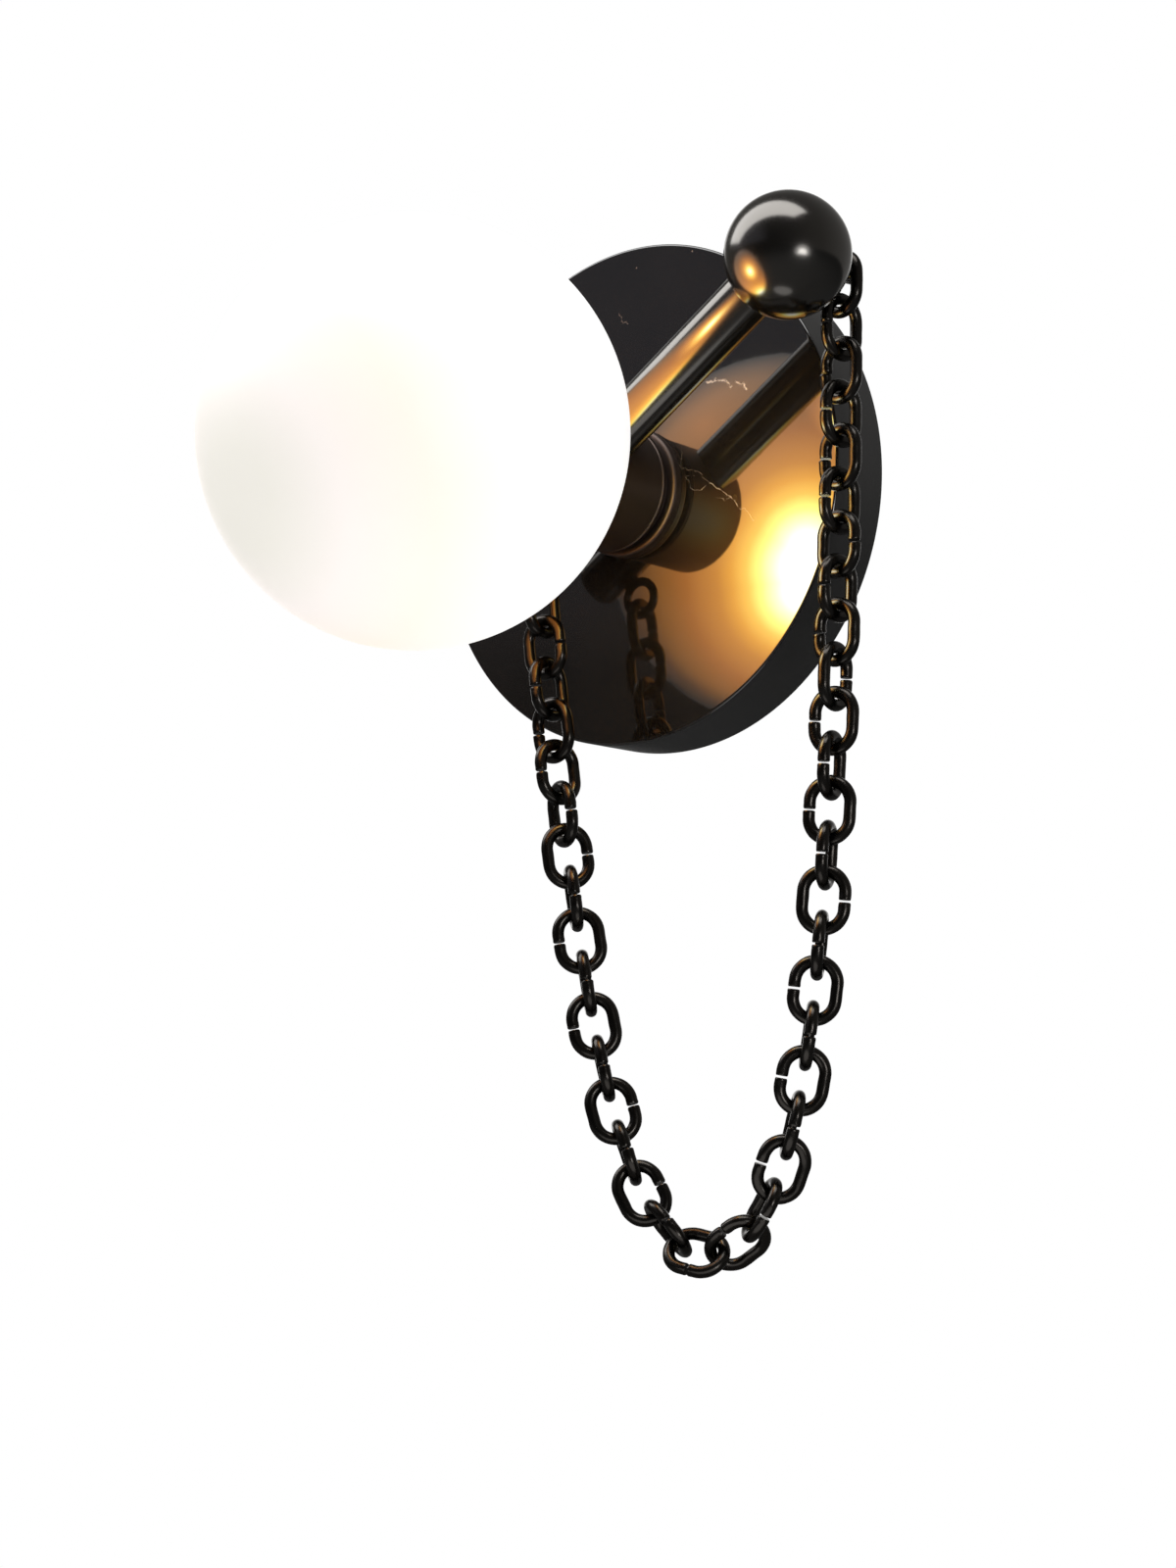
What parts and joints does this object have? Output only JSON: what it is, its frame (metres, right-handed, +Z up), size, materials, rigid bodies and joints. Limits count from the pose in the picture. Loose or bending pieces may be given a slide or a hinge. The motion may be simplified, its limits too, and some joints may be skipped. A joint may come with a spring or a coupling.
{
  "type": "wall light",
  "caption": "Wall light with an opal globe on a round hub, an angled bar that ends in a ball, a draped link chain and a thick round stone backplate.",
  "frame": {"origin": "centre of the backplate's back face, on the wall, midway between the crossbar's two slots", "axes": "+X right as seen from the room, +Z up, +Y into the wall, so the light stands out along -Y"},
  "size_m": [0.2177, 0.2215, 0.3858],
  "materials": {
    "black_stone": "polished near-black stone with fine pale veins, honed edge",
    "black_nickel": "polished dark bronze plating over brass",
    "oxidised_bronze_wire": "dark oxidised bronze with rubbed gold edges",
    "plated_steel": "zinc plated",
    "brass": "plain brass",
    "white_nylon": "moulded nylon",
    "black_rubber": "matt rubber",
    "clear_gasket": "soft clear sleeve",
    "white_ceramic": "glazed ceramic",
    "clear_lamp_glass": "clear glass",
    "lamp_phosphor": "warm light source",
    "opal_glass": "satin opal white glass"
  },
  "bodies": {
    "fixture": {"arm_root_insert": "plated_steel", "arm_screw": "plated_steel", "arm_tip_insert": "plated_steel", "arm_tube": "black_nickel", "ball": "black_nickel", "ball_links": "oxidised_bronze_wire", "ball_stud": "plated_steel", "chain_screw": "black_nickel", "chain_spacer": "black_nickel", "crossbar_nut": "plated_steel", "earth_screw": "brass", "globe_set_screws": "black_nickel", "holder_cap": "black_nickel", "holder_contacts": "brass", "hub_bead": "black_nickel", "hub_cup": "black_nickel", "hub_flange": "black_nickel", "hub_nut": "plated_steel", "hub_washer": "plated_steel", "lampholder": "white_ceramic", "rear_nut": "plated_steel", "rear_washer": "black_rubber", "stone_backplate": "black_stone", "stub_cap": "black_nickel", "stub_eye": "black_nickel", "stub_root_insert": "plated_steel", "stub_screw": "plated_steel", "stub_tube": "black_nickel", "terminal_block": "white_nylon", "threaded_nipple": "plated_steel", "wall_crossbar": "plated_steel"},
    "chain": {"chain_links_01_02": "oxidised_bronze_wire", "chain_links_03_04": "oxidised_bronze_wire", "chain_links_05_06": "oxidised_bronze_wire", "chain_links_07_08": "oxidised_bronze_wire", "chain_links_09_10": "oxidised_bronze_wire", "chain_links_11_12": "oxidised_bronze_wire", "chain_links_13_14": "oxidised_bronze_wire", "chain_links_15_16": "oxidised_bronze_wire", "chain_links_17_18": "oxidised_bronze_wire", "chain_links_19_20": "oxidised_bronze_wire", "chain_links_21_22": "oxidised_bronze_wire", "chain_links_23_24": "oxidised_bronze_wire", "chain_links_25_26": "oxidised_bronze_wire", "chain_links_27_28": "oxidised_bronze_wire", "chain_links_29_30": "oxidised_bronze_wire", "chain_links_31_32": "oxidised_bronze_wire", "chain_links_33_34": "oxidised_bronze_wire", "chain_links_35_36": "oxidised_bronze_wire", "chain_links_37_38": "oxidised_bronze_wire"},
    "globe": {"opal_globe": "opal_glass", "mouth_sleeve": "clear_gasket"},
    "lamp": {"lamp_base": "white_ceramic", "lamp_pins": "plated_steel", "lamp_glass": "clear_lamp_glass", "lamp_core": "lamp_phosphor"}
  },
  "joints": [
    {"name": "chain_swing", "type": "hinge", "parent": "fixture", "child": "chain", "pos_m": [-0.01816, -0.0607, -0.03922], "axis": [-0.8412, -0.181, -0.5095], "range_deg": [-3, 25]},
    {"name": "globe_pull", "type": "slide", "parent": "fixture", "child": "globe", "axis": [0, -1, 0], "range_m": [0, 0.055]},
    {"name": "lamp_pull", "type": "slide", "parent": "fixture", "child": "lamp", "axis": [0, -1, 0], "range_m": [0, 0.012]}
  ]
}
